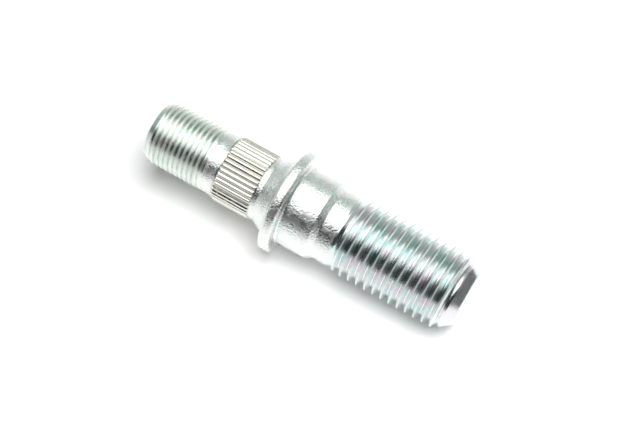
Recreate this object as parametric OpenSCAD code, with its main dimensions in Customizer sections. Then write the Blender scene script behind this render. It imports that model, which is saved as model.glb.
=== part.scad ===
// Double-ended wheel stud: one forged and rolled piece with a flange between its two ends.
// Millimetres. Z = 0 is the flange face that seats on the hub, and +Z is the way the stud is
// pressed into the hub. The end that takes the wheel nut points down.

/* [Wheel-nut thread] */
// Major diameter of the thread that takes the wheel nut
wheel_thread_d = 22; // [20:0.5:24]
// Pitch of the wheel-nut thread
wheel_thread_pitch = 2.5; // [1.5:0.25:3]
// Hand of the wheel-nut thread
wheel_thread_hand = "left"; // [left, right]
// Length of the wheel-nut thread with its run-out, from the wheel end
wheel_thread_len = 37.5; // [30:0.5:38.5]
// Length of the cone at the wheel end
wheel_chamfer_len = 4.3; // [2:0.1:5]
// Diameter of the flat face at the wheel end
wheel_face_d = 14.9; // [13:0.1:18]

/* [Hub-nut thread] */
// Major diameter of the thread that takes the hub nut
hub_thread_d = 18; // [17:0.25:18.5]
// Pitch of the hub-nut thread
hub_thread_pitch = 1.5; // [1:0.25:2]
// Hand of the hub-nut thread
hub_thread_hand = "right"; // [left, right]
// Length of the hub-nut thread with its run-out, from the hub end
hub_thread_len = 18.7; // [14:0.1:20.5]
// Length of the cone at the hub end
hub_chamfer_len = 2.4; // [1:0.1:3]
// Diameter of the flat face at the hub end
hub_face_d = 15.4; // [13:0.1:16]

/* [Knurl] */
// Diameter over the ridges, which the hub's hole grips
knurl_d = 19.2; // [18.8:0.1:20.5]
// Length of the ridges
knurl_len = 11.4; // [8:0.1:12]
// Ridges round the stud
knurl_ridges = 40; // [32:1:44]
// Depth of the grooves between the ridges
groove_depth = 0.45; // [0.2:0.05:0.6]
// Width of a groove at its mouth
groove_w = 0.85; // [0.5:0.05:1]

/* [Shank on the hub side] */
// From the flange face that seats on the hub to the hub end
hub_reach = 40.2; // [40:0.1:48]
// Diameter of the plain neck between the knurl and the hub-nut thread
hub_neck_d = 17.8; // [17:0.1:18.4]
// Diameter of the plain collar between the knurl and the flare
collar_d = 18.5; // [18:0.1:19]
// Length of the collar
collar_len = 1.5; // [1:0.1:3]
// Diameter that the flare's cone would have on the flange's face
flare_d = 23.2; // [21:0.1:24]
// Length of the flare, from the flange to the collar
flare_len = 4.7; // [4:0.1:6]

/* [Flange] */
// Diameter of the flange
flange_d = 29.6; // [28:0.2:34]
// Thickness of the flange
flange_t = 3.5; // [2.4:0.1:4]
// Radius of the flange's rounded edges
flange_edge_r = 1.1; // [0.4:0.1:1.1]

/* [Shank on the wheel side] */
// From the flange face that seats on the hub to the wheel end
wheel_reach = 56.3; // [55:0.1:64]
// Diameter of the plain shank that the wheel disc centres on
pilot_d = 22.7; // [22:0.1:25]
// Length of the plain shank, from the flange to its taper
pilot_len = 9; // [6:0.1:10]
// Length of the taper down to the neck
taper_len = 1.9; // [1.5:0.1:3]
// Diameter of the neck before the wheel-nut thread
wheel_neck_d = 20.5; // [19.4:0.1:20.6]

/* [Hidden] */

zinc = [0.80, 0.84, 0.85];

// Form of a metric thread, as shares of its pitch
CREST_FLAT = 1 / 8;
DEPTH = 0.6134;
FLANK = DEPTH * tan(30);

// Columns of points round a thread, and turns over which the thread fades into its neck
COLUMNS = 40;
RUNOUT_TURNS = 1.15;
// A thread's core goes this far into its neck, and stays this far under the neck's skin
ROOTED = 1;
UNDER = 0.15;
// Angle from +X at which the crest of each thread passes the end of its neck
wheel_thread_start = 248;
hub_thread_start = 100.5;

// Fillet where the pilot shank meets the flange
pilot_fillet_r = 0.6;
// The flare's lean, and its fillet, which is kept small enough to leave a flat ring on the flange
flare_lean = atan((flare_d - collar_d) / 2 / flare_len);
SEAT_RING_W = 0.4;
LEAST_FILLET_R = 0.2;
MOST_FILLET_R = 2.8;
flare_fillet_r = max(LEAST_FILLET_R, min(MOST_FILLET_R, tan(45 + flare_lean / 2)
    * ((flange_d - flare_d) / 2 - flange_edge_r - SEAT_RING_W)));
// Bevels at both ends of the ridges: the one that enters the hub first, and the one by the collar
lead_bevel_len = 0.6;
collar_bevel_len = 0.3;
// The grooves stop this far above the collar, and their cutters reach this far past the ridges
GROOVE_STOP = 0.1;
PAST = 0.2;

// Heights, from the wheel end up to the hub end
wheel_neck_z = wheel_thread_len - wheel_reach;
taper_top_z = -flange_t - pilot_len;
taper_foot_z = taper_top_z - taper_len;
collar_top_z = flare_len + collar_len;
knurl_top_z = collar_top_z + knurl_len;
hub_neck_z = hub_reach - hub_thread_len;

// Points of an arc from angle a to angle b about the centre c
function arc(c, r, a, b, steps = 6) = [for (i = [0:steps])
    let (turn = a + (b - a) * i / steps)
    c + r * [cos(turn), sin(turn)]];

// Half outline of the shank, its collars and the flange, from the lower neck to the upper one
function shank_outline() = concat(
    [[0, wheel_neck_z], [wheel_neck_d / 2, wheel_neck_z]],
    [[wheel_neck_d / 2, taper_foot_z], [pilot_d / 2, taper_top_z]],
    arc([pilot_d / 2 + pilot_fillet_r, -flange_t - pilot_fillet_r], pilot_fillet_r, 180, 90),
    arc([flange_d / 2 - flange_edge_r, flange_edge_r - flange_t], flange_edge_r, -90, 0),
    arc([flange_d / 2 - flange_edge_r, -flange_edge_r], flange_edge_r, 0, 90),
    arc([flare_d / 2 + flare_fillet_r / tan(45 + flare_lean / 2), flare_fillet_r],
        flare_fillet_r, 270, 180 + flare_lean),
    [[collar_d / 2, flare_len], [collar_d / 2, collar_top_z]],
    [[knurl_d / 2, collar_top_z + collar_bevel_len], [knurl_d / 2, knurl_top_z - lead_bevel_len]],
    [[hub_neck_d / 2, knurl_top_z]],
    [[hub_neck_d / 2, hub_neck_z], [0, hub_neck_z]]
);

// A V groove's cutter, lying along +X
module groove() {
    mouth_r = knurl_d / 2 + PAST;
    mouth_w = groove_w * (groove_depth + PAST) / groove_depth;
    translate([0, 0, collar_top_z + GROOVE_STOP])
        linear_extrude(height = knurl_len - GROOVE_STOP + PAST)
            polygon([[knurl_d / 2 - groove_depth, 0], [mouth_r, -mouth_w / 2], [mouth_r, mouth_w / 2]]);
}

// The plain shank with its flange, flare, collar and knurl
module shank() {
    difference() {
        rotate_extrude($fn = 96) polygon(shank_outline());
        for (i = [0:knurl_ridges - 1]) rotate([0, 0, (i + 0.5) * 360 / knurl_ridges]) groove();
    }
}

// Heights in one turn, as shares of the pitch: both ends of the crest, then both ends of the root
function turn_shares() = [0, CREST_FLAT, CREST_FLAT + FLANK, 1 - FLANK];

// Height of row i at column j, kept between the thread's foot and its end face
function row_z(i, j, pitch, top) =
    max(-ROOTED, min(top, pitch * (floor(i / 4) - 2 + turn_shares()[i % 4] + j / COLUMNS)));

// How far the thread has come out of its neck at height z, from 0 to 1
function emerged(z, pitch) = max(0, min(1, z / (RUNOUT_TURNS * pitch)));

// Radius of row i at height z: a crest or a root that fades into the neck, cut by the end cone
function row_r(i, z, d, pitch, neck_d, top, cone_len, face_d) =
    let (full_r = i % 4 < 2 ? d / 2 : d / 2 - DEPTH * pitch)
    let (neck_r = neck_d / 2 - UNDER)
    let (cone_r = face_d / 2 + (top - z) * (d - face_d) / 2 / cone_len)
    min(neck_r + (full_r - neck_r) * emerged(z, pitch), cone_r);

// Whether a face has any area: rows that are held at an end lie on each other
function spans(points, face) = len(face) > 3 || (points[face[0]] != points[face[1]]
    && points[face[1]] != points[face[2]] && points[face[2]] != points[face[0]]);

// A threaded end that stands on z = 0, with its core rooted below it. Each row of points climbs
// one pitch a turn, so the last column meets the first one four rows higher.
module threaded_end(d, pitch, hand, len, neck_d, cone_len, face_d) {
    rows = 4 * (ceil((len + ROOTED) / pitch) + 4);
    side = hand == "left" ? -1 : 1;
    points = [for (j = [0:COLUMNS - 1]) for (i = [0:rows]) let (z = row_z(i, j, pitch, len))
        let (r = row_r(i, z, d, pitch, neck_d, len, cone_len, face_d))
        [r * cos(360 * j / COLUMNS), r * sin(360 * j / COLUMNS) * side, z]];
    function at(i, j) = j < COLUMNS ? j * (rows + 1) + i : min(rows, i + 4);
    function turned(face) = hand == "left" ? [for (k = [len(face) - 1:-1:0]) face[k]] : face;
    skin = [for (j = [0:COLUMNS - 1]) for (i = [0:rows - 1])
        each [[at(i, j), at(i + 1, j), at(i + 1, j + 1)], [at(i, j), at(i + 1, j + 1), at(i, j + 1)]]];
    caps = [[for (j = [0:COLUMNS - 1]) at(0, j)], [for (j = [COLUMNS - 1:-1:0]) at(rows, j)]];
    solid = [for (face = concat(skin, caps)) if (spans(points, face)) turned(face)];
    polyhedron(points, solid, convexity = 10);
}

// The whole stud
module wheel_stud() {
    color(zinc)
        union() {
            shank();
            translate([0, 0, hub_neck_z])
                rotate([0, 0, hub_thread_start])
                    threaded_end(hub_thread_d, hub_thread_pitch, hub_thread_hand, hub_thread_len,
                        hub_neck_d, hub_chamfer_len, hub_face_d);
            translate([0, 0, wheel_neck_z])
                rotate([180, 0, wheel_thread_start])
                    threaded_end(wheel_thread_d, wheel_thread_pitch, wheel_thread_hand, wheel_thread_len,
                        wheel_neck_d, wheel_chamfer_len, wheel_face_d);
        }
}

wheel_stud();
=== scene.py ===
"""Looks of a double-ended wheel stud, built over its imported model.

The stud is one piece of steel. Its flange and plain shanks are forged, its two threads and its
knurl are rolled, and the whole is plated with bright zinc. It lies on a white table, on the rim
of its flange and the end of its coarse thread, under one wide overhead light.
"""

from __future__ import annotations

import logging
import math
from dataclasses import dataclass, field
from enum import Enum
from typing import Any, Sequence

import bmesh
import bpy
import numpy as np
from mathutils import Matrix, Vector


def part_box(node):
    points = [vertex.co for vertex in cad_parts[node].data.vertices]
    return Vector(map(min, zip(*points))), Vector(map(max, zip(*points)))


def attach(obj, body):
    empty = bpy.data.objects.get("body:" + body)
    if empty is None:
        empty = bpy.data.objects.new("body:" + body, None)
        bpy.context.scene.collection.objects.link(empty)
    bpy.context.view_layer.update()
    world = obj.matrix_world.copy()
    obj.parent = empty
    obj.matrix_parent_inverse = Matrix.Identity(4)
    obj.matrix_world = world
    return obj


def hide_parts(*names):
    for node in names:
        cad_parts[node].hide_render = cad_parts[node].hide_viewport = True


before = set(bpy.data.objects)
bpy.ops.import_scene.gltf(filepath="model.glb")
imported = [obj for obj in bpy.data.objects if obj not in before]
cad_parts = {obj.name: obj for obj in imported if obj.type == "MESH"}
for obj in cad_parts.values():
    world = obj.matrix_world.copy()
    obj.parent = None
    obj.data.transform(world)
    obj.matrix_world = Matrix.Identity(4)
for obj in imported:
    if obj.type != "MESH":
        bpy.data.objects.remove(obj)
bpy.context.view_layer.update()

# Metres in a millimetre and in a micrometre
MM = 0.001
UM = MM * MM
# Points of the skin that lie nearer than this become one
WELD_MM = 0.0015
# Values of the patches' noise between which the film, and the dullness, change
FILM_RANGE = (0.32, 0.68)
DULL_RANGE = (0.3, 0.7)
# Rows of the knurl from the start of the bevel that enters the hub, in mm
LEAD_ROWS = (-0.3, -0.1, 0.0, 0.08, 0.2, 0.35, 0.5)
NODE = "wheel_stud"
BODY = "root"

log = logging.getLogger("wheel_stud")


class Hand(Enum):
    """Way a thread winds: the sign of its climb as the angle grows."""

    RIGHT = 1
    LEFT = -1


class Finish(Enum):
    """Surfaces of the stud, numbered as the material slots of its mesh."""

    COARSE_THREAD = 0
    FINE_THREAD = 1
    FORGED_SHANK = 2
    ROLLED_KNURL = 3
    SHEARED_END = 4


def linear(code: str) -> tuple[float, float, float, float]:
    """Turns an sRGB colour into the linear one that a shader takes.

    Args:
        code: Six hex digits, such as "d8e0e2".

    Returns:
        Linear red, green and blue, and an alpha of 1.
    """
    shares = [int(code[i:i + 2], 16) / 255 for i in (0, 2, 4)]
    parts = [s / 12.92 if s <= 0.04045 else ((s + 0.055) / 1.055) ** 2.4 for s in shares]
    return parts[0], parts[1], parts[2], 1.0


def add_node(tree: bpy.types.NodeTree, kind: str, inputs: dict[Any, Any] | None = None,
             **settings: Any) -> bpy.types.Node:
    """Adds a node with its settings and links.

    Args:
        tree: Node tree that gets the node.
        kind: Type name of the node.
        inputs: Value, or output socket to link, for each input by its name or number.
        **settings: Attributes of the node itself.

    Returns:
        The new node.
    """
    node = tree.nodes.new(kind)
    for name, value in settings.items():
        setattr(node, name, value)
    for name, value in (inputs or {}).items():
        if isinstance(value, bpy.types.NodeSocket):
            tree.links.new(value, node.inputs[name])
        else:
            node.inputs[name].default_value = value
    return node


def start_tree(owner: bpy.types.Material | bpy.types.World) -> bpy.types.NodeTree:
    """Gives a material or a world an empty node tree.

    Args:
        owner: The material or the world.

    Returns:
        Its node tree.
    """
    owner.use_nodes = True
    owner.node_tree.nodes.clear()
    return owner.node_tree


def add_object(name: str, data: bpy.types.ID) -> bpy.types.Object:
    """Adds an object to the scene.

    Args:
        name: Name of the object.
        data: Its mesh, light or camera.

    Returns:
        The object.
    """
    thing = bpy.data.objects.new(name, data)
    bpy.context.scene.collection.objects.link(thing)
    return thing


@dataclass(frozen=True)
class Grooves:
    """How a surface changes from the roots of its grooves to their crests.

    Attributes:
        root_r_mm: Radius of the roots.
        crest_r_mm: Radius of the crests.
        root: Colour at the roots, as sRGB hex, over the plate's own colour: the film's tint, and,
            where it is darker than the crests' colour, painted shade in the grooves.
        side: Colour on the grooves' sides: the film's tint, and painted shade where it is darker.
        crest: Colour of the film on the crests.
        crest_dull: Roughness of the crests, which no die has pressed.
        crest_mm: Depth below the crests at which that roughness ends.
        side_share: Share of the way up from the roots at which the sides' colour is met.
    """

    root_r_mm: float
    crest_r_mm: float
    root: str
    side: str
    crest: str
    crest_dull: float
    crest_mm: float = 0.1
    side_share: float = 0.35

    def radius(self, tree: bpy.types.NodeTree, place: bpy.types.NodeSocket) -> bpy.types.NodeSocket:
        """Works out how far a place is from the stud's axis.

        Args:
            tree: Node tree of the material.
            place: Place on the stud.

        Returns:
            The distance in metres.
        """
        flat = add_node(tree, "ShaderNodeVectorMath", {0: place, 1: (1, 1, 0)}, operation="MULTIPLY")
        return add_node(tree, "ShaderNodeVectorMath", {0: flat.outputs[0]},
                        operation="LENGTH").outputs["Value"]

    def tinted(self, tree: bpy.types.NodeTree, place: bpy.types.NodeSocket,
               colour: bpy.types.NodeSocket) -> bpy.types.NodeSocket:
        """Tints the plate by how deep it lies: its film is thicker in the grooves, and painted shade
        darkens the roots and sides where their colour is darker than the crests'.

        Args:
            tree: Node tree of the material.
            place: Place on the stud.
            colour: The plate's own colour.

        Returns:
            Colour of the plate with its film, and with the painted shade in its grooves.
        """
        rise = add_node(tree, "ShaderNodeMapRange", {
            "Value": self.radius(tree, place), "From Min": self.root_r_mm * MM,
            "From Max": self.crest_r_mm * MM})
        # Colours from roots to crests: the film's tints, and painted shade where the roots and sides are
        # darker
        film = add_node(tree, "ShaderNodeValToRGB", {"Fac": rise.outputs["Result"]})
        film.color_ramp.elements[0].color = linear(self.root)
        film.color_ramp.elements[1].color = linear(self.crest)
        film.color_ramp.elements.new(self.side_share).color = linear(self.side)
        both = add_node(tree, "ShaderNodeVectorMath", {0: colour, 1: film.outputs["Color"]},
                        operation="MULTIPLY")
        return both.outputs[0]

    def dulled(self, tree: bpy.types.NodeTree, place: bpy.types.NodeSocket,
               dull: bpy.types.NodeSocket) -> bpy.types.NodeSocket:
        """Roughens the crests.

        Args:
            tree: Node tree of the material.
            place: Place on the stud.
            dull: Roughness of the grooves' sides.

        Returns:
            Roughness of the plate, crests and all.
        """
        mixed = add_node(tree, "ShaderNodeMapRange", {
            "Value": self.radius(tree, place), "From Min": (self.crest_r_mm - self.crest_mm) * MM,
            "From Max": self.crest_r_mm * MM, "To Min": dull, "To Max": self.crest_dull})
        return mixed.outputs["Result"]


@dataclass(frozen=True)
class ZincPlate:
    """Bright zinc on steel, a soft and slightly tinted mirror that takes on the surface below it.

    Attributes:
        name: Name of the finish, for what it is and how its surface was made.
        pale: Colour of the plate where it is clean, as sRGB hex.
        tint: Colour where its film is thicker, as sRGB hex.
        film: Second tint of the film, as sRGB hex.
        dull: Roughness of the plate.
        patchy: How far the roughness varies from patch to patch.
        patch_mm: Size of a patch of film.
        grain_mm: Size of the grains of the surface below.
        grain_um: Height of those grains.
        mark_mm: Width and length of the tool marks.
        mark_um: Depth of the tool marks.
        marks_run_round: Whether the marks run round the stud, or along it.
        grooves: Grooves of a thread or a knurl.
    """

    name: str
    pale: str
    tint: str
    film: str
    dull: float
    patchy: float
    patch_mm: float
    grain_mm: float
    grain_um: float
    mark_mm: tuple[float, float]
    mark_um: float
    marks_run_round: bool = True
    grooves: Grooves | None = None

    def film_look(self, tree: bpy.types.NodeTree,
                  place: bpy.types.NodeSocket) -> tuple[bpy.types.NodeSocket, bpy.types.NodeSocket]:
        """Lays the patches of film.

        Args:
            tree: Node tree of the material.
            place: Place on the stud.

        Returns:
            Colour and roughness of the plate.
        """
        patches = add_node(tree, "ShaderNodeTexNoise", {
            "Vector": place, "Scale": 1 / (self.patch_mm * MM), "Detail": 3.0, "Roughness": 0.6})
        ramp = add_node(tree, "ShaderNodeValToRGB", {"Fac": patches.outputs["Fac"]})
        ends = ramp.color_ramp.elements
        ends[0].position, ends[1].position = FILM_RANGE
        ends[0].color = linear(self.tint)
        ends[1].color = linear(self.film)
        ends.new(sum(FILM_RANGE) / 2).color = linear(self.pale)
        dullness = add_node(tree, "ShaderNodeMapRange", {
            "Value": patches.outputs["Fac"], "From Min": DULL_RANGE[0], "From Max": DULL_RANGE[1],
            "To Min": self.dull - self.patchy, "To Max": self.dull + self.patchy})
        return ramp.outputs["Color"], dullness.outputs["Result"]

    def relief(self, tree: bpy.types.NodeTree, place: bpy.types.NodeSocket) -> bpy.types.NodeSocket:
        """Raises the grain and cuts the tool marks.

        Args:
            tree: Node tree of the material.
            place: Place on the stud.

        Returns:
            Normal of the surface.
        """
        grain = add_node(tree, "ShaderNodeTexNoise", {
            "Vector": place, "Scale": 1 / (self.grain_mm * MM), "Detail": 2.0, "Roughness": 0.6})
        grained = add_node(tree, "ShaderNodeBump", {
            "Height": grain.outputs["Fac"], "Distance": self.grain_um * UM})
        width, length = self.mark_mm
        across, along = 1 / (width * MM), 1 / (length * MM)
        shares = (along, along, across) if self.marks_run_round else (across, across, along)
        marks_place = add_node(tree, "ShaderNodeMapping", {"Vector": place, "Scale": shares})
        marks = add_node(tree, "ShaderNodeTexNoise", {
            "Vector": marks_place.outputs["Vector"], "Scale": 1.0, "Detail": 3.0})
        marked = add_node(tree, "ShaderNodeBump", {
            "Height": marks.outputs["Fac"], "Distance": self.mark_um * UM,
            "Normal": grained.outputs["Normal"]})
        return marked.outputs["Normal"]

    def material(self) -> bpy.types.Material:
        """Builds the finish.

        Returns:
            The finish as a material.
        """
        material = bpy.data.materials.new(self.name)
        tree = start_tree(material)
        place = add_node(tree, "ShaderNodeTexCoord").outputs["Object"]
        colour, dull = self.film_look(tree, place)
        if self.grooves:
            # The grooves add the film's tints and the painted shade in their roots
            colour = self.grooves.tinted(tree, place, colour)
            dull = self.grooves.dulled(tree, place, dull)
        plate = add_node(tree, "ShaderNodeBsdfPrincipled", {
            "Base Color": colour, "Metallic": 1.0, "Roughness": dull,
            "Normal": self.relief(tree, place)})
        add_node(tree, "ShaderNodeOutputMaterial", {"Surface": plate.outputs["BSDF"]})
        return material


# The real grain of a forged or rolled skin under plate is 0.05 to 0.2 mm. Each finish draws it as
# coarse as it needs to show, at 0.3 to 0.5 mm, and higher than it is. The marks are drawn a little
# wider than real ones.

# Coarse rolled thread: sides pressed bright by the dies, matt crests that the dies didn't reach,
# and a thin film that shows blue, green and pink
COARSE_ZINC = ZincPlate(
    name="bright_zinc_on_coarse_thread", pale="e0e6e4", tint="cadedc", film="e4dce2", dull=0.22,
    patchy=0.05, patch_mm=4.0, grain_mm=0.4, grain_um=22.0, mark_mm=(0.12, 2.5), mark_um=5.0,
    grooves=Grooves(root_r_mm=9.45, crest_r_mm=11.0, root="fbf5f8", side="f5fafb", crest="fdfdfb",
                    crest_dull=0.55))
# Fine rolled thread: greener, with wide matt crests and roots too narrow to be bright; the grooves'
# colours also darken the roots as painted shade
FINE_ZINC = ZincPlate(
    name="bright_zinc_on_fine_thread", pale="e1e6e3", tint="d4e1da", film="e6e4e0", dull=0.26,
    patchy=0.05, patch_mm=3.0, grain_mm=0.4, grain_um=22.0, mark_mm=(0.12, 2.5), mark_um=5.0,
    grooves=Grooves(root_r_mm=8.3, crest_r_mm=9.0, root="e6eae8", side="f7faf8", crest="fdfdfa",
                    crest_dull=0.45))
# Forged shank and flange: skin that was blasted free of scale, so its highlight breaks up into
# mottled grain
SHANK_ZINC = ZincPlate(
    name="bright_zinc_on_forged_skin", pale="e2e6e4", tint="d6dfdd", film="e6e2e2", dull=0.27,
    patchy=0.04, patch_mm=2.5, grain_mm=0.5, grain_um=165.0, mark_mm=(0.25, 3.0), mark_um=10.0)
# Rolled knurl: ridges with marks along them, a little warmer where they were pressed, and painted
# shade that darkens the grooves towards their roots
KNURL_ZINC = ZincPlate(
    name="bright_zinc_on_rolled_knurl", pale="e6e4de", tint="dadfda", film="e9e4dc", dull=0.26,
    patchy=0.05, patch_mm=3.0, grain_mm=0.3, grain_um=12.0, mark_mm=(0.15, 2.0), mark_um=5.0,
    marks_run_round=False,
    grooves=Grooves(root_r_mm=9.2, crest_r_mm=9.6, root="d4d4ce", side="ecece6", crest="ffffff",
                    crest_dull=0.35))
# Ends of the bar: sheared and chamfered, with the highest grain and no bright film
END_ZINC = ZincPlate(
    name="bright_zinc_on_sheared_end", pale="dce2e2", tint="cdd9d7", film="dce2e0", dull=0.26,
    patchy=0.04, patch_mm=2.0, grain_mm=0.5, grain_um=180.0, mark_mm=(0.2, 2.0), mark_um=10.0)
FINISHES = {Finish.COARSE_THREAD: COARSE_ZINC, Finish.FINE_THREAD: FINE_ZINC,
            Finish.FORGED_SHANK: SHANK_ZINC, Finish.ROLLED_KNURL: KNURL_ZINC,
            Finish.SHEARED_END: END_ZINC}


def rounded(corners: Sequence[tuple[float, float, float]], step_deg: float = 12.0) -> np.ndarray:
    """Rounds the corners of an outline.

    Args:
        corners: Radius and height of each corner, and the radius that rounds it, in mm.
        step_deg: Turn of the outline from one point of an arc to the next.

    Returns:
        Radius and height of each point, one row a point.
    """
    points: list[np.ndarray] = []
    for i, (r, z, fillet) in enumerate(corners):
        here = np.array((r, z))
        if fillet <= 0 or i in (0, len(corners) - 1):
            points.append(here)
            continue
        back = np.array(corners[i - 1][:2]) - here
        ahead = np.array(corners[i + 1][:2]) - here
        back, ahead = back / np.linalg.norm(back), ahead / np.linalg.norm(ahead)
        half = math.acos(float(np.clip(back @ ahead, -1, 1))) / 2
        middle = (back + ahead) / np.linalg.norm(back + ahead)
        centre = here + middle * fillet / math.sin(half)
        start = here + back * fillet / math.tan(half) - centre
        end = here + ahead * fillet / math.tan(half) - centre
        turn = math.pi - 2 * half
        steps = max(2, math.ceil(math.degrees(turn) / step_deg))
        for k in range(steps + 1):
            share = k / steps
            weights = math.sin((1 - share) * turn), math.sin(share * turn)
            points.append(centre + (weights[0] * start + weights[1] * end) / math.sin(turn))
    return np.array(points)


class Skin:
    """Closed skin of the stud, laid as bands of rows from the wheel end up to the hub end."""

    def __init__(self) -> None:
        """Starts with no points and no faces."""
        self.points: list[tuple[float, float, float]] = []
        self.faces: list[tuple[int, ...]] = []
        self.finishes: list[int] = []

    def add_face(self, corners: tuple[int, ...], finish: Finish) -> None:
        """Adds one face with its finish."""
        self.faces.append(corners)
        self.finishes.append(finish.value)

    def add_rows(self, radius: np.ndarray, height: np.ndarray) -> int:
        """Adds the points of a band.

        Args:
            radius: Radius of each point in mm, one row of columns a row.
            height: Height of each point in mm, laid out the same way.

        Returns:
            Number of the band's first point.
        """
        first = len(self.points)
        turns = np.linspace(0, 2 * math.pi, radius.shape[1], endpoint=False)
        places = np.stack([radius * np.cos(turns), radius * np.sin(turns), height], axis=-1) * MM
        self.points.extend(map(tuple, places.reshape(-1, 3)))
        return first

    def add_band(self, radius: np.ndarray, height: np.ndarray, finish: Finish, climb: int = 0) -> None:
        """Adds a band of faces that goes once round the stud.

        Args:
            radius: Radius of each point in mm, one row of columns a row.
            height: Height of each point in mm, laid out the same way.
            finish: Finish of the band.
            climb: Rows by which a row has climbed after one turn.
        """
        first = self.add_rows(radius, height)
        rows, columns = radius.shape

        def at(i: int, j: int) -> int:
            """Finds a point, past the seam too.

            Args:
                i: Row of the point.
                j: Column of the point.

            Returns:
                Number of the point.
            """
            if j == columns:
                i, j = min(rows - 1, max(0, i + climb)), 0
            return first + i * columns + j

        for i in range(rows - 1):
            for j in range(columns):
                self.add_face((at(i, j), at(i, j + 1), at(i + 1, j + 1), at(i + 1, j)), finish)

    def add_lathe(self, outline: np.ndarray, columns: int, finish: Finish) -> None:
        """Turns an outline round the axis.

        Args:
            outline: Radius and height of each point in mm, one row a point.
            columns: Columns of points round the stud.
            finish: Finish of the band.
        """
        radius = np.repeat(outline[:, :1], columns, axis=1)
        height = np.repeat(outline[:, 1:], columns, axis=1)
        self.add_band(radius, height, finish)

    def add_step(self, low: tuple[float, float], high: tuple[float, float], few: int, many: int,
                 finish: Finish) -> None:
        """Joins a ring of few columns to one of three times as many, either way up.

        Args:
            low: Radius and height of the lower ring.
            high: Radius and height of the upper ring.
            few: Columns of the lower ring.
            many: Columns of the upper ring.
            finish: Finish of the step.
        """
        rings = []
        for (r, z), columns in ((low, few), (high, many)):
            rings.append(self.add_rows(np.full((1, columns), r), np.full((1, columns), z)))
        wide_on_top = many > few
        a, b = rings if wide_on_top else rings[::-1]
        columns = min(few, many)
        for j in range(columns):
            here, there = a + j, a + (j + 1) % columns
            w = [b + (3 * j + k) % (3 * columns) for k in range(4)]
            for face in ((here, w[1], w[0]), (here, there, w[2], w[1]), (there, w[3], w[2])):
                self.add_face(face if wide_on_top else face[::-1], finish)

    def build(self, name: str) -> bpy.types.Object:
        """Welds the bands into one closed mesh and smooths it.

        Args:
            name: Name of the object.

        Returns:
            The object, linked to the scene.
        """
        mesh = bpy.data.meshes.new(name)
        mesh.from_pydata(self.points, [], self.faces)
        mesh.polygons.foreach_set("material_index", self.finishes)
        work = bmesh.new()
        work.from_mesh(mesh)
        bmesh.ops.remove_doubles(work, verts=work.verts, dist=WELD_MM * MM)
        bmesh.ops.dissolve_degenerate(work, edges=work.edges, dist=WELD_MM * MM)
        for face in work.faces:
            face.smooth = True
        open_edges = sum(not edge.is_manifold for edge in work.edges)
        work.to_mesh(mesh)
        triangles = sum(len(face.verts) - 2 for face in work.faces)
        work.free()
        log.info("%s: %d triangles, %d open edges", name, triangles, open_edges)
        return add_object(name, mesh)


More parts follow.
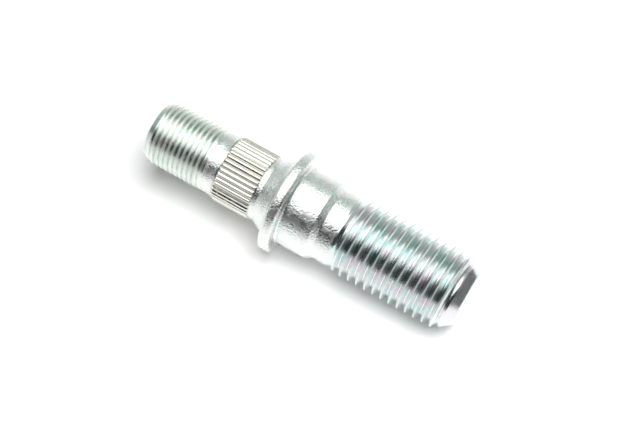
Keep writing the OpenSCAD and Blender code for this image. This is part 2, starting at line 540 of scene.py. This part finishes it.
@dataclass
class ThreadedEnd:
    """One threaded end, with its run-out, its cone and its end face. Sizes in mm.

    Attributes:
        d: Major diameter.
        pitch: Pitch.
        hand: Way the thread winds.
        neck_z: Height of the neck's end, where the run-out starts.
        end_z: Height of the end face.
        neck_d: Diameter of the neck.
        cone_len: Length of the cone at the end.
        face_d: Diameter of the end face.
        start_deg: Angle from +X at which the crest passes the neck's end.
        finish: Finish of the thread.
        crest_flat: Width of the crests between their corners, as a share of the pitch.
        crest_round: Radius of the crests' corners, as a share of the pitch.
        root_round: Radius of the roots, as a share of the pitch.
        crest_share: From the start angle to the crest's middle, as a share of the pitch.
        runout_turns: Turns over which the thread fades into its neck.
        rim_len: Length of the plain rim beside the end face.
        rim_round: Radius that rounds the rim.
        cone_blend: Distance over which the crests blend into the cone.
        profile_step_deg: Turn of the profile from one point of a rounded corner to the next.
    """

    d: float
    pitch: float
    hand: Hand
    neck_z: float
    end_z: float
    neck_d: float
    cone_len: float
    face_d: float
    start_deg: float
    finish: Finish
    crest_flat: float
    crest_round: float
    root_round: float
    crest_share: float = 1 / 16
    runout_turns: float = 1.15
    rim_len: float = 0.35
    rim_round: float = 0.3
    cone_blend: float = 0.12
    profile_step_deg: float = 30.0

    @property
    def way(self) -> int:
        """Sign of the direction from the neck to the end."""
        return 1 if self.end_z > self.neck_z else -1

    @property
    def depth(self) -> float:
        """Depth of a groove between its crests, as a share of the pitch."""
        return (1 - self.crest_flat) / 2 / math.tan(math.radians(30)) - self.root_round

    def profile(self) -> np.ndarray:
        """Shape of one turn.

        Returns:
            Share of the pitch from the crest's middle, and share of the depth, one row a point.
        """
        lean = math.tan(math.radians(30))
        top = (self.crest_flat / 2, 0.0, self.crest_round)
        foot = (0.5 - self.root_round * lean, -self.depth, self.root_round)
        corners = [(0.0, 0.0, 0.0), top, foot, (0.5, -self.depth, 0.0)]
        side = rounded(corners, self.profile_step_deg)
        shares = np.array([(x, 1 + y / self.depth) for x, y in side])
        mirrored = shares[1:-1][::-1] * (-1, 1)
        return np.concatenate([mirrored, shares])

    def cone_r(self, z: np.ndarray | float) -> np.ndarray | float:
        """Radius of the end's cone at a height."""
        reach = (self.end_z - z) * self.way
        return self.face_d / 2 + reach * (self.d - self.face_d) / 2 / self.cone_len

    def radius_at(self, height: np.ndarray, up: np.ndarray) -> np.ndarray:
        """Works out the skin's radius, which fades into the neck and is cut by the cone.

        Args:
            height: Height of each point in mm, one row of columns a row.
            up: Share of the way from the roots to the crests, one a row.

        Returns:
            Radius of each point in mm.
        """
        full = self.d / 2 - self.depth * self.pitch * (1 - up)
        emerged = np.clip(np.abs(height - self.neck_z) / (self.runout_turns * self.pitch), 0, 1)
        radius = self.neck_d / 2 + (full - self.neck_d / 2) * emerged
        cone = self.cone_r(height)
        overlap = np.clip(self.cone_blend - np.abs(radius - cone), 0, None) / self.cone_blend
        return np.minimum(radius, cone) - overlap ** 2 * self.cone_blend / 4

    def add_to(self, skin: Skin, columns: int) -> None:
        """Lays the thread and its end.

        Args:
            skin: Skin that gets the bands.
            columns: Columns of points round the stud.
        """
        shape = self.profile()
        turns = np.arange(columns) / columns - self.start_deg / 360
        rim_z = self.end_z - self.rim_len * self.way
        rim_r = self.cone_r(rim_z)
        low, high = sorted((self.neck_z, rim_z))
        count = math.ceil((high - low) / self.pitch) + 2
        middle = self.way * self.crest_share
        rows = [(k + share, share_up) for k in range(-count, count + 1) for share, share_up in shape]
        shares = np.array([row[0] for row in rows])[:, None]
        up = np.array([row[1] for row in rows])[:, None]
        height = self.neck_z + self.pitch * (self.hand.value * turns[None, :] + shares + middle)
        inside = (height.max(axis=1) > low - self.pitch) & (height.min(axis=1) < high + self.pitch)
        height, up = np.clip(height[inside], low, high), up[inside]
        radius = np.where(height == rim_z, rim_r, self.radius_at(height, up))
        skin.add_band(radius, height, self.finish, self.hand.value * len(shape))
        outline = rounded([
            (rim_r, rim_z, 0), (self.face_d / 2, self.end_z, self.rim_round), (0, self.end_z, 0)])
        skin.add_lathe(outline if self.way > 0 else outline[::-1], columns, Finish.SHEARED_END)


@dataclass
class Knurl:
    """Rolled knurl that the hub grips, between its collar and the upper neck. Sizes in mm.

    Attributes:
        low_z: Height of its lower end.
        high_z: Height of its upper end, which enters the hub first.
        d: Diameter over the ridges.
        ridges: Ridges round the stud.
        groove_depth: Depth of the grooves.
        groove_w: Width of a groove at its mouth.
        lead_bevel_len: Length of the bevel at the upper end.
        collar_bevel_len: Length of the bevel at the lower end.
        soft: Depth over which a groove's mouth is rounded.
        floor_share: Share of a groove's depth at which it is flat.
        lip: Height of the upper bevel's last row over the neck.
    """

    low_z: float
    high_z: float
    d: float = 19.2
    ridges: int = 40
    groove_depth: float = 0.45
    groove_w: float = 0.85
    lead_bevel_len: float = 0.6
    collar_bevel_len: float = 0.3
    soft: float = 0.25
    floor_share: float = 0.94
    lip: float = 0.04

    def groove(self, columns: int) -> np.ndarray:
        """Works out the depth of the grooves.

        Args:
            columns: Columns of points round the stud.

        Returns:
            Depth at each column in mm.
        """
        pitch = math.pi * self.d / self.ridges
        share = np.arange(columns) / columns * self.ridges
        away = np.abs(share - np.floor(share) - 0.5) * pitch
        depth = self.groove_depth * (1 - away / (self.groove_w / 2))
        softened = (depth + np.sqrt(depth ** 2 + self.soft ** 2)) / 2
        return np.clip(softened, 0, self.groove_depth * self.floor_share)

    def add_to(self, skin: Skin, columns: int, low_ring: tuple[float, float],
               high_ring: tuple[float, float]) -> None:
        """Lays the ridges, their ends and the bevel.

        Args:
            skin: Skin that gets the bands.
            columns: Columns of points round the stud.
            low_ring: Radius and height of the plain ring that the band starts from.
            high_ring: Radius and height of the plain ring that the band ends at.
        """
        depth = self.groove(columns)
        low_bevel_z = self.low_z + self.collar_bevel_len
        bevel_z = self.high_z - self.lead_bevel_len
        top = self.d / 2
        heights = [self.low_z + self.collar_bevel_len * k / 4 for k in range(5)]
        heights += list(np.linspace(low_bevel_z, bevel_z + LEAD_ROWS[0], 9)[1:])
        heights += [bevel_z + rise for rise in LEAD_ROWS[1:]]
        rows = [(low_ring[1], np.full(columns, low_ring[0]))]
        for z in heights:
            low_bevel = max(0.0, low_bevel_z - z) * (top - low_ring[0]) / self.collar_bevel_len
            bevel = max(0.0, z - bevel_z) * (top - high_ring[0]) / self.lead_bevel_len
            rows.append((z, np.minimum(top - depth, top - bevel - low_bevel)))
        rows.append((self.high_z, np.full(columns, high_ring[0] + self.lip)))
        rows.append((high_ring[1], np.full(columns, high_ring[0])))
        height = np.array([np.full(columns, z) for z, _ in rows])
        skin.add_band(np.array([r for _, r in rows]), height, Finish.ROLLED_KNURL)


@dataclass
class WheelStud:
    """The whole stud. Z = 0 is the flange face that seats on the hub. Sizes in mm.

    Attributes:
        wheel_end_z: Height of the end that takes the wheel nut.
        hub_end_z: Height of the end that takes the hub nut.
        flange_d: Diameter of the flange.
        flange_t: Thickness of the flange.
        flange_edge_r: Radius of the flange's edges.
        flare_d: Diameter that the flare's cone would have on the flange's face.
        flare_len: Length of the flare.
        flare_fillet_r: Radius of the flare's fillet on the flange.
        collar_d: Diameter of the collar below the knurl.
        collar_len: Length of the collar.
        collar_round: Radius of the corner between the flare and the collar.
        knurl_len: Length of the knurl.
        hub_neck_d: Diameter of the neck above the knurl.
        pilot_d: Diameter of the plain shank that the wheel centres on.
        pilot_len: Length of that shank.
        pilot_fillet_r: Radius of its fillet on the flange.
        pilot_round: Radius of its corner with the taper.
        taper_len: Length of the taper.
        taper_round: Radius of the hollow between the taper and the neck.
        wheel_neck_d: Diameter of the neck before the wheel-nut thread.
        wheel_thread_len: Length of the wheel-nut thread with its run-out.
        hub_thread_len: Length of the hub-nut thread with its run-out.
        step_len: Length over which the columns of points change in number.
        neck_blend_len: Length of the hollow curve between the knurl and its neck.
        neck_blend_h: Height of that curve.
        neck_blend_rows: Rows of points along it.
        columns: Columns of points round the stud.
        knurl_columns: Columns of points round the knurl.
        knurl: The knurl.
        wheel_end: The end that takes the wheel nut.
        hub_end: The end that takes the hub nut.
    """

    wheel_end_z: float
    hub_end_z: float
    flange_d: float
    flange_t: float = 3.5
    flange_edge_r: float = 1.1
    flare_d: float = 23.2
    flare_len: float = 4.7
    flare_fillet_r: float = 2.75
    collar_d: float = 18.5
    collar_len: float = 1.5
    collar_round: float = 0.15
    knurl_len: float = 11.4
    hub_neck_d: float = 17.8
    pilot_d: float = 22.7
    pilot_len: float = 9.0
    pilot_fillet_r: float = 0.6
    pilot_round: float = 0.5
    taper_len: float = 1.9
    taper_round: float = 0.8
    wheel_neck_d: float = 20.5
    wheel_thread_len: float = 37.5
    hub_thread_len: float = 18.7
    step_len: float = 0.3
    neck_blend_len: float = 2.4
    neck_blend_h: float = 0.32
    neck_blend_rows: int = 9
    columns: int = 160
    knurl_columns: int = 480
    knurl: Knurl = field(init=False)
    wheel_end: ThreadedEnd = field(init=False)
    hub_end: ThreadedEnd = field(init=False)

    def __post_init__(self) -> None:
        """Works out the ends and the knurl from the stud's own sizes."""
        collar_z = self.flare_len + self.collar_len
        self.knurl = Knurl(low_z=collar_z, high_z=collar_z + self.knurl_len)
        self.wheel_end = ThreadedEnd(
            d=22.0, pitch=2.5, hand=Hand.LEFT, neck_z=self.wheel_end_z + self.wheel_thread_len,
            end_z=self.wheel_end_z, neck_d=self.wheel_neck_d, cone_len=4.3, face_d=14.9,
            start_deg=248.0, finish=Finish.COARSE_THREAD, crest_flat=0.15,
            crest_round=0.08, root_round=0.12)
        self.hub_end = ThreadedEnd(
            d=18.0, pitch=1.5, hand=Hand.RIGHT, neck_z=self.hub_end_z - self.hub_thread_len,
            end_z=self.hub_end_z, neck_d=self.hub_neck_d, cone_len=2.4, face_d=15.4,
            start_deg=100.5, finish=Finish.FINE_THREAD, crest_flat=0.4,
            crest_round=0.08, root_round=0.06)

    def shank(self) -> np.ndarray:
        """Draws the plain shank and the flange, from the lower neck up to the collar.

        Returns:
            Radius and height of each point, one row a point.
        """
        taper_z = -self.flange_t - self.pilot_len
        return rounded([
            (self.wheel_neck_d / 2, self.wheel_end.neck_z, 0),
            (self.wheel_neck_d / 2, taper_z - self.taper_len, self.taper_round),
            (self.pilot_d / 2, taper_z, self.pilot_round),
            (self.pilot_d / 2, -self.flange_t, self.pilot_fillet_r),
            (self.flange_d / 2, -self.flange_t, self.flange_edge_r),
            (self.flange_d / 2, 0, self.flange_edge_r),
            (self.flare_d / 2, 0, self.flare_fillet_r),
            (self.collar_d / 2, self.flare_len, self.collar_round),
            (self.collar_d / 2, self.knurl.low_z - self.step_len * 2, 0)])

    def neck(self) -> np.ndarray:
        """Draws the upper neck, which blends into the knurl in a hollow curve.

        Returns:
            Radius and height of each point, one row a point.
        """
        low_z = self.knurl.high_z + self.step_len
        blend = np.linspace(low_z, low_z + self.neck_blend_len, self.neck_blend_rows)
        heights = [*blend, self.hub_end.neck_z]
        left = [max(0.0, 1 - (z - low_z) / self.neck_blend_len) for z in heights]
        return np.array([(self.hub_neck_d / 2 + self.neck_blend_h * share ** 2, z)
                         for z, share in zip(heights, left)])

    def build(self) -> bpy.types.Object:
        """Builds the stud, dresses it and puts it in its node's place.

        Returns:
            The stud.
        """
        skin = Skin()
        self.wheel_end.add_to(skin, self.columns)
        skin.add_lathe(self.shank(), self.columns, Finish.FORGED_SHANK)
        low_z = self.knurl.low_z - self.step_len
        rings = [(self.collar_d / 2, z) for z in (low_z - self.step_len, low_z)]
        skin.add_step(rings[0], rings[1], self.columns, self.knurl_columns, Finish.FORGED_SHANK)
        neck = self.neck()
        self.knurl.add_to(skin, self.knurl_columns, rings[1], tuple(neck[0]))
        skin.add_step(tuple(neck[0]), tuple(neck[1]), self.knurl_columns, self.columns,
                      Finish.FORGED_SHANK)
        skin.add_lathe(neck[1:], self.columns, Finish.FORGED_SHANK)
        self.hub_end.add_to(skin, self.columns)
        piece = skin.build("plated_wheel_stud")
        for finish in Finish:
            piece.data.materials.append(FINISHES[finish].material())
        shading = piece.modifiers.new("weighted_normals", "WEIGHTED_NORMAL")
        shading.keep_sharp = True
        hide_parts(NODE)
        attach(piece, BODY)
        return piece


@dataclass(frozen=True)
class Card:
    """A card round the table that only the plate's reflections see.

    Attributes:
        name: Name of the card.
        turns: Angles round the table's normal from the viewer's side to the hub end, from and to.
        heights: Angles above the table, from and to.
        colour: Colour of the card, as sRGB hex.
        distance: Metres from its centre.
        centre_mm: Height on the stud's axis that the card stands round.
    """

    name: str
    turns: tuple[float, float]
    heights: tuple[float, float]
    colour: str
    distance: float = 1.2
    centre_mm: float = 0.0


@dataclass(frozen=True)
class Panel:
    """A level panel over the table, which only the plate's reflections see.

    Attributes:
        name: Name of the panel.
        along: Reach along the stud from the flange, towards the hub end, from and to, in metres.
        towards: Reach from the axis towards the viewer, from and to, in metres.
        height: Metres over the flange's middle.
        colour: Colour of the panel, as sRGB hex.
        strength: Brightness, where 1 is white.
    """

    name: str
    along: tuple[float, float]
    towards: tuple[float, float]
    height: float
    colour: str
    strength: float


@dataclass
class Studio:
    """White table, overhead light, cards and camera, all placed from the table's normal.

    The frame keeps the stud upright, so the table leans: it is the plane that the stud rests on
    with its flange's rim and the end of its coarse thread.

    Attributes:
        normal: Direction away from the table.
        view_target: Point that the camera looks at.
        view_distance: Metres from there to the camera.
        view_azimuth: Degrees from the frame's front to the camera.
        view_elevation: Degrees from the frame's level to the camera.
        view_roll: Degrees by which the camera is rolled.
        lens_mm: Focal length of the camera.
        sensor_mm: Width of the camera's sensor.
        table_half: Metres from the table's middle to its edges.
        table_in_view: Whiteness of the table where the camera sees it.
        table_in_mirror: Whiteness of the table in the plate's reflections.
        table_in_light: Whiteness of the table where it sends light back.
        ambient: Strength of the even light from all round.
        lamp_distance: Metres from the stud to the lamp.
        lamp_half: Metres from the lamp's middle to its rim.
        lamp_radiance: Brightness of the lamp's face, where 1 is white.
        lamp_turn: Degrees round the table's normal to the lamp, as for a card.
        lamp_height: Degrees above the table to the lamp.
        cards: Cards that the reflections see.
        panels: Level panels that the reflections see.
        card_columns: Points along a card's width.
        card_rows: Points along a card's height.
    """

    normal: Vector = field(default_factory=lambda: Vector((0.42227, -0.90331, 0.07570)).normalized())
    view_target: Vector = field(default_factory=lambda: Vector((1.28, 0.0, -10.47)) * MM)
    view_distance: float = 0.4735
    view_azimuth: float = -0.157
    view_elevation: float = -10.235
    view_roll: float = -61.067
    lens_mm: float = 99.05
    sensor_mm: float = 36.0
    table_half: float = 3.0
    table_in_view: float = 1.45
    table_in_mirror: float = 1.6
    table_in_light: float = 0.9
    ambient: float = 0.14
    lamp_distance: float = 1.0
    lamp_half: float = 0.35
    lamp_radiance: float = 6.5
    lamp_turn: float = -50.0
    lamp_height: float = 76.0
    cards: tuple[Card, ...] = (
        Card("dark_card_in_front", (-50, 75), (4, 66), "363636"),
        Card("dark_card_at_hub_end", (75, 112), (8, 52), "7a7e7c"),
        Card("grey_card_at_wheel_end", (-125, -50), (5, 62), "bcc6c1"),
        Card("low_grey_card_behind", (112, 235), (3, 22), "ced7d1"),
        Card("high_grey_card_behind", (112, 235), (22, 62), "b4bfb9"),
        Card("grey_card_by_wheel_end", (-130, -25), (-12, 38), "7c7c7c", 0.05, -56.0),
    )
    panels: tuple[Panel, ...] = (
        Panel("overhead_softbox_face", (-0.10, 0.16), (-0.11, 0.07), 0.175, "ffffff", 2.5),
    )
    card_columns: int = 13
    card_rows: int = 9

    def axes(self) -> tuple[Vector, Vector, Vector]:
        """Camera's own axes in the frame.

        Returns:
            Directions to the right, up and back.
        """
        azimuth, elevation = math.radians(self.view_azimuth), math.radians(self.view_elevation)
        back = Vector((math.sin(azimuth) * math.cos(elevation),
                       -math.cos(azimuth) * math.cos(elevation), math.sin(elevation)))
        up = (Vector((0, 0, 1)) - back * back.z).normalized()
        right = up.cross(back)
        roll = math.radians(self.view_roll)
        turned = up * math.cos(roll) - right * math.sin(roll)
        return turned.cross(back), turned, back

    def direction(self, turn: float, height: float) -> Vector:
        """Direction seen from the stud.

        Args:
            turn: Degrees round the table's normal, from the viewer's side to the hub end.
            height: Degrees above the table.

        Returns:
            The direction, one long.
        """
        _, _, back = self.axes()
        front = (back - self.normal * back.dot(self.normal)).normalized()
        side = self.normal.cross(front) * -1
        turn, height = math.radians(turn), math.radians(height)
        level = front * math.cos(turn) + side * math.sin(turn)
        return level * math.cos(height) + self.normal * math.sin(height)

    def seen(self, tree: bpy.types.NodeTree) -> bpy.types.NodeSocket:
        """Tests for the rays that show the background.

        Args:
            tree: Node tree that asks.

        Returns:
            1 for camera, glossy and clear rays, and 0 for the rest.
        """
        path = add_node(tree, "ShaderNodeLightPath")
        first = add_node(tree, "ShaderNodeMath", {
            0: path.outputs["Is Camera Ray"], 1: path.outputs["Is Glossy Ray"]}, operation="MAXIMUM")
        both = add_node(tree, "ShaderNodeMath", {
            0: first.outputs[0], 1: path.outputs["Is Transmission Ray"]}, operation="MAXIMUM")
        return both.outputs[0]

    def add_world(self) -> None:
        """White surroundings where they are seen, and an even soft light on everything."""
        world = bpy.data.worlds.new("white_studio")
        bpy.context.scene.world = world
        tree = start_tree(world)
        strength = add_node(tree, "ShaderNodeMapRange", {
            "Value": self.seen(tree), "To Min": self.ambient, "To Max": 1.0})
        air = add_node(tree, "ShaderNodeBackground", {
            "Color": linear("ffffff"), "Strength": strength.outputs["Result"]})
        add_node(tree, "ShaderNodeOutputWorld", {"Surface": air.outputs["Background"]})

    def add_table(self, piece: bpy.types.Object) -> bpy.types.Object:
        """Lays the white table under the stud.

        Args:
            piece: The stud, which the table touches.

        Returns:
            The table.
        """
        depth = min(self.normal.dot(vertex.co) for vertex in piece.data.vertices)
        across = self.normal.orthogonal().normalized()
        along = self.normal.cross(across)
        half = self.table_half
        corners = [self.normal * depth + across * a * half + along * b * half
                   for a, b in ((-1, -1), (1, -1), (1, 1), (-1, 1))]
        mesh = bpy.data.meshes.new("white_table")
        mesh.from_pydata(corners, [], [(0, 1, 2, 3)])
        mesh.materials.append(self.table_material())
        table = add_object("white_table", mesh)
        return table

    def table_material(self) -> bpy.types.Material:
        """Makes matt white acrylic sheet, which keeps the shadow and is clear from below.

        Returns:
            The material.
        """
        material = bpy.data.materials.new("white_acrylic_sheet")
        tree = start_tree(material)
        path = add_node(tree, "ShaderNodeLightPath")
        mirrored = add_node(tree, "ShaderNodeMapRange", {
            "Value": self.seen(tree), "To Min": self.table_in_light, "To Max": self.table_in_mirror})
        white = add_node(tree, "ShaderNodeMix", {
            "Factor": path.outputs["Is Camera Ray"], "A": mirrored.outputs["Result"],
            "B": self.table_in_view})
        sheet = add_node(tree, "ShaderNodeBsdfDiffuse", {"Color": white.outputs["Result"]})
        clear = add_node(tree, "ShaderNodeBsdfTransparent")
        side = add_node(tree, "ShaderNodeNewGeometry").outputs["Backfacing"]
        shown = add_node(tree, "ShaderNodeMixShader", {0: side, 1: sheet.outputs[0], 2: clear.outputs[0]})
        add_node(tree, "ShaderNodeOutputMaterial", {"Surface": shown.outputs[0]})
        return material

    def add_lamp(self) -> None:
        """Hangs one wide round light over the table; a panel stands in for its mirrored face."""
        light = bpy.data.lights.new("overhead_softbox", "AREA")
        light.shape = "DISK"
        light.size = 2 * self.lamp_half
        light.energy = self.lamp_radiance * math.pi * math.pi * self.lamp_half ** 2
        lamp = add_object("overhead_softbox", light)
        side = self.direction(self.lamp_turn, self.lamp_height)
        lamp.location = side * self.lamp_distance
        lamp.rotation_mode = "QUATERNION"
        lamp.rotation_quaternion = side.to_track_quat("Z", "Y")
        lamp.visible_glossy = False

    def add_sheet(self, name: str, points: Sequence[Vector], faces: Sequence[tuple[int, ...]],
                  colour: str, strength: float) -> None:
        """Adds a glowing sheet that only reflections see.

        Args:
            name: Name of the sheet and of its paint.
            points: Its points.
            faces: Its faces.
            colour: Its colour, as sRGB hex.
            strength: Its brightness, where 1 is white.
        """
        mesh = bpy.data.meshes.new(name)
        mesh.from_pydata(points, [], faces)
        material = bpy.data.materials.new(name)
        tree = start_tree(material)
        paint = add_node(tree, "ShaderNodeEmission", {"Color": linear(colour), "Strength": strength})
        add_node(tree, "ShaderNodeOutputMaterial", {"Surface": paint.outputs[0]})
        mesh.materials.append(material)
        sheet = add_object(name, mesh)
        for ray in ("camera", "diffuse", "shadow", "transmission", "volume_scatter"):
            setattr(sheet, f"visible_{ray}", False)

    def add_card(self, card: Card) -> None:
        """Stands one card round the table, as a patch of a sphere.

        Args:
            card: The card.
        """
        turns = np.linspace(*card.turns, self.card_columns)
        heights = np.linspace(*card.heights, self.card_rows)
        centre = Vector((0.0, 0.0, card.centre_mm * MM))
        points = [centre + self.direction(t, h) * card.distance for h in heights for t in turns]
        n = len(turns)
        faces = [(i * n + j, i * n + j + 1, (i + 1) * n + j + 1, (i + 1) * n + j)
                 for i in range(len(heights) - 1) for j in range(n - 1)]
        self.add_sheet(card.name, points, faces, card.colour, 1.0)

    def add_panel(self, panel: Panel) -> None:
        """Lays one level panel over the table.

        Args:
            panel: The panel.
        """
        along, towards = self.direction(90, 0), self.direction(0, 0)
        points = [self.normal * panel.height + along * a + towards * t
                  for a, t in zip((*panel.along, *panel.along[::-1]), np.repeat(panel.towards, 2))]
        self.add_sheet(panel.name, points, [(0, 1, 2, 3)], panel.colour, panel.strength)

    def add_camera(self) -> None:
        """Stands the camera where the photograph was taken from."""
        right, up, back = self.axes()
        lens = bpy.data.cameras.new("photo_view")
        lens.sensor_width = self.sensor_mm
        lens.lens = self.lens_mm
        lens.clip_end = 20.0
        camera = add_object("photo_view", lens)
        camera.matrix_world = Matrix((
            (right.x, up.x, back.x, 0), (right.y, up.y, back.y, 0),
            (right.z, up.z, back.z, 0), (0, 0, 0, 1)))
        camera.location = self.view_target + back * self.view_distance
        bpy.context.scene.camera = camera

    def build(self, piece: bpy.types.Object) -> None:
        """Sets up everything round the stud.

        Args:
            piece: The stud.
        """
        bpy.context.scene.view_settings.view_transform = "Standard"
        self.add_world()
        self.add_table(piece)
        self.add_lamp()
        for card in self.cards:
            self.add_card(card)
        for panel in self.panels:
            self.add_panel(panel)
        self.add_camera()


def main() -> None:
    """Builds the stud and its studio, and reports each."""
    logging.basicConfig(level=logging.INFO, format="%(name)s: %(message)s")
    low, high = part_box(NODE)
    stud = WheelStud(wheel_end_z=low.z / MM, hub_end_z=high.z / MM, flange_d=(high.x - low.x) / MM)
    piece = stud.build()
    log.info("stud from %.2f to %.2f mm", stud.wheel_end_z, stud.hub_end_z)
    studio = Studio()
    studio.build(piece)
    log.info("studio with %d cards and %d panels", len(studio.cards), len(studio.panels))


if __name__ == "__main__":
    main()
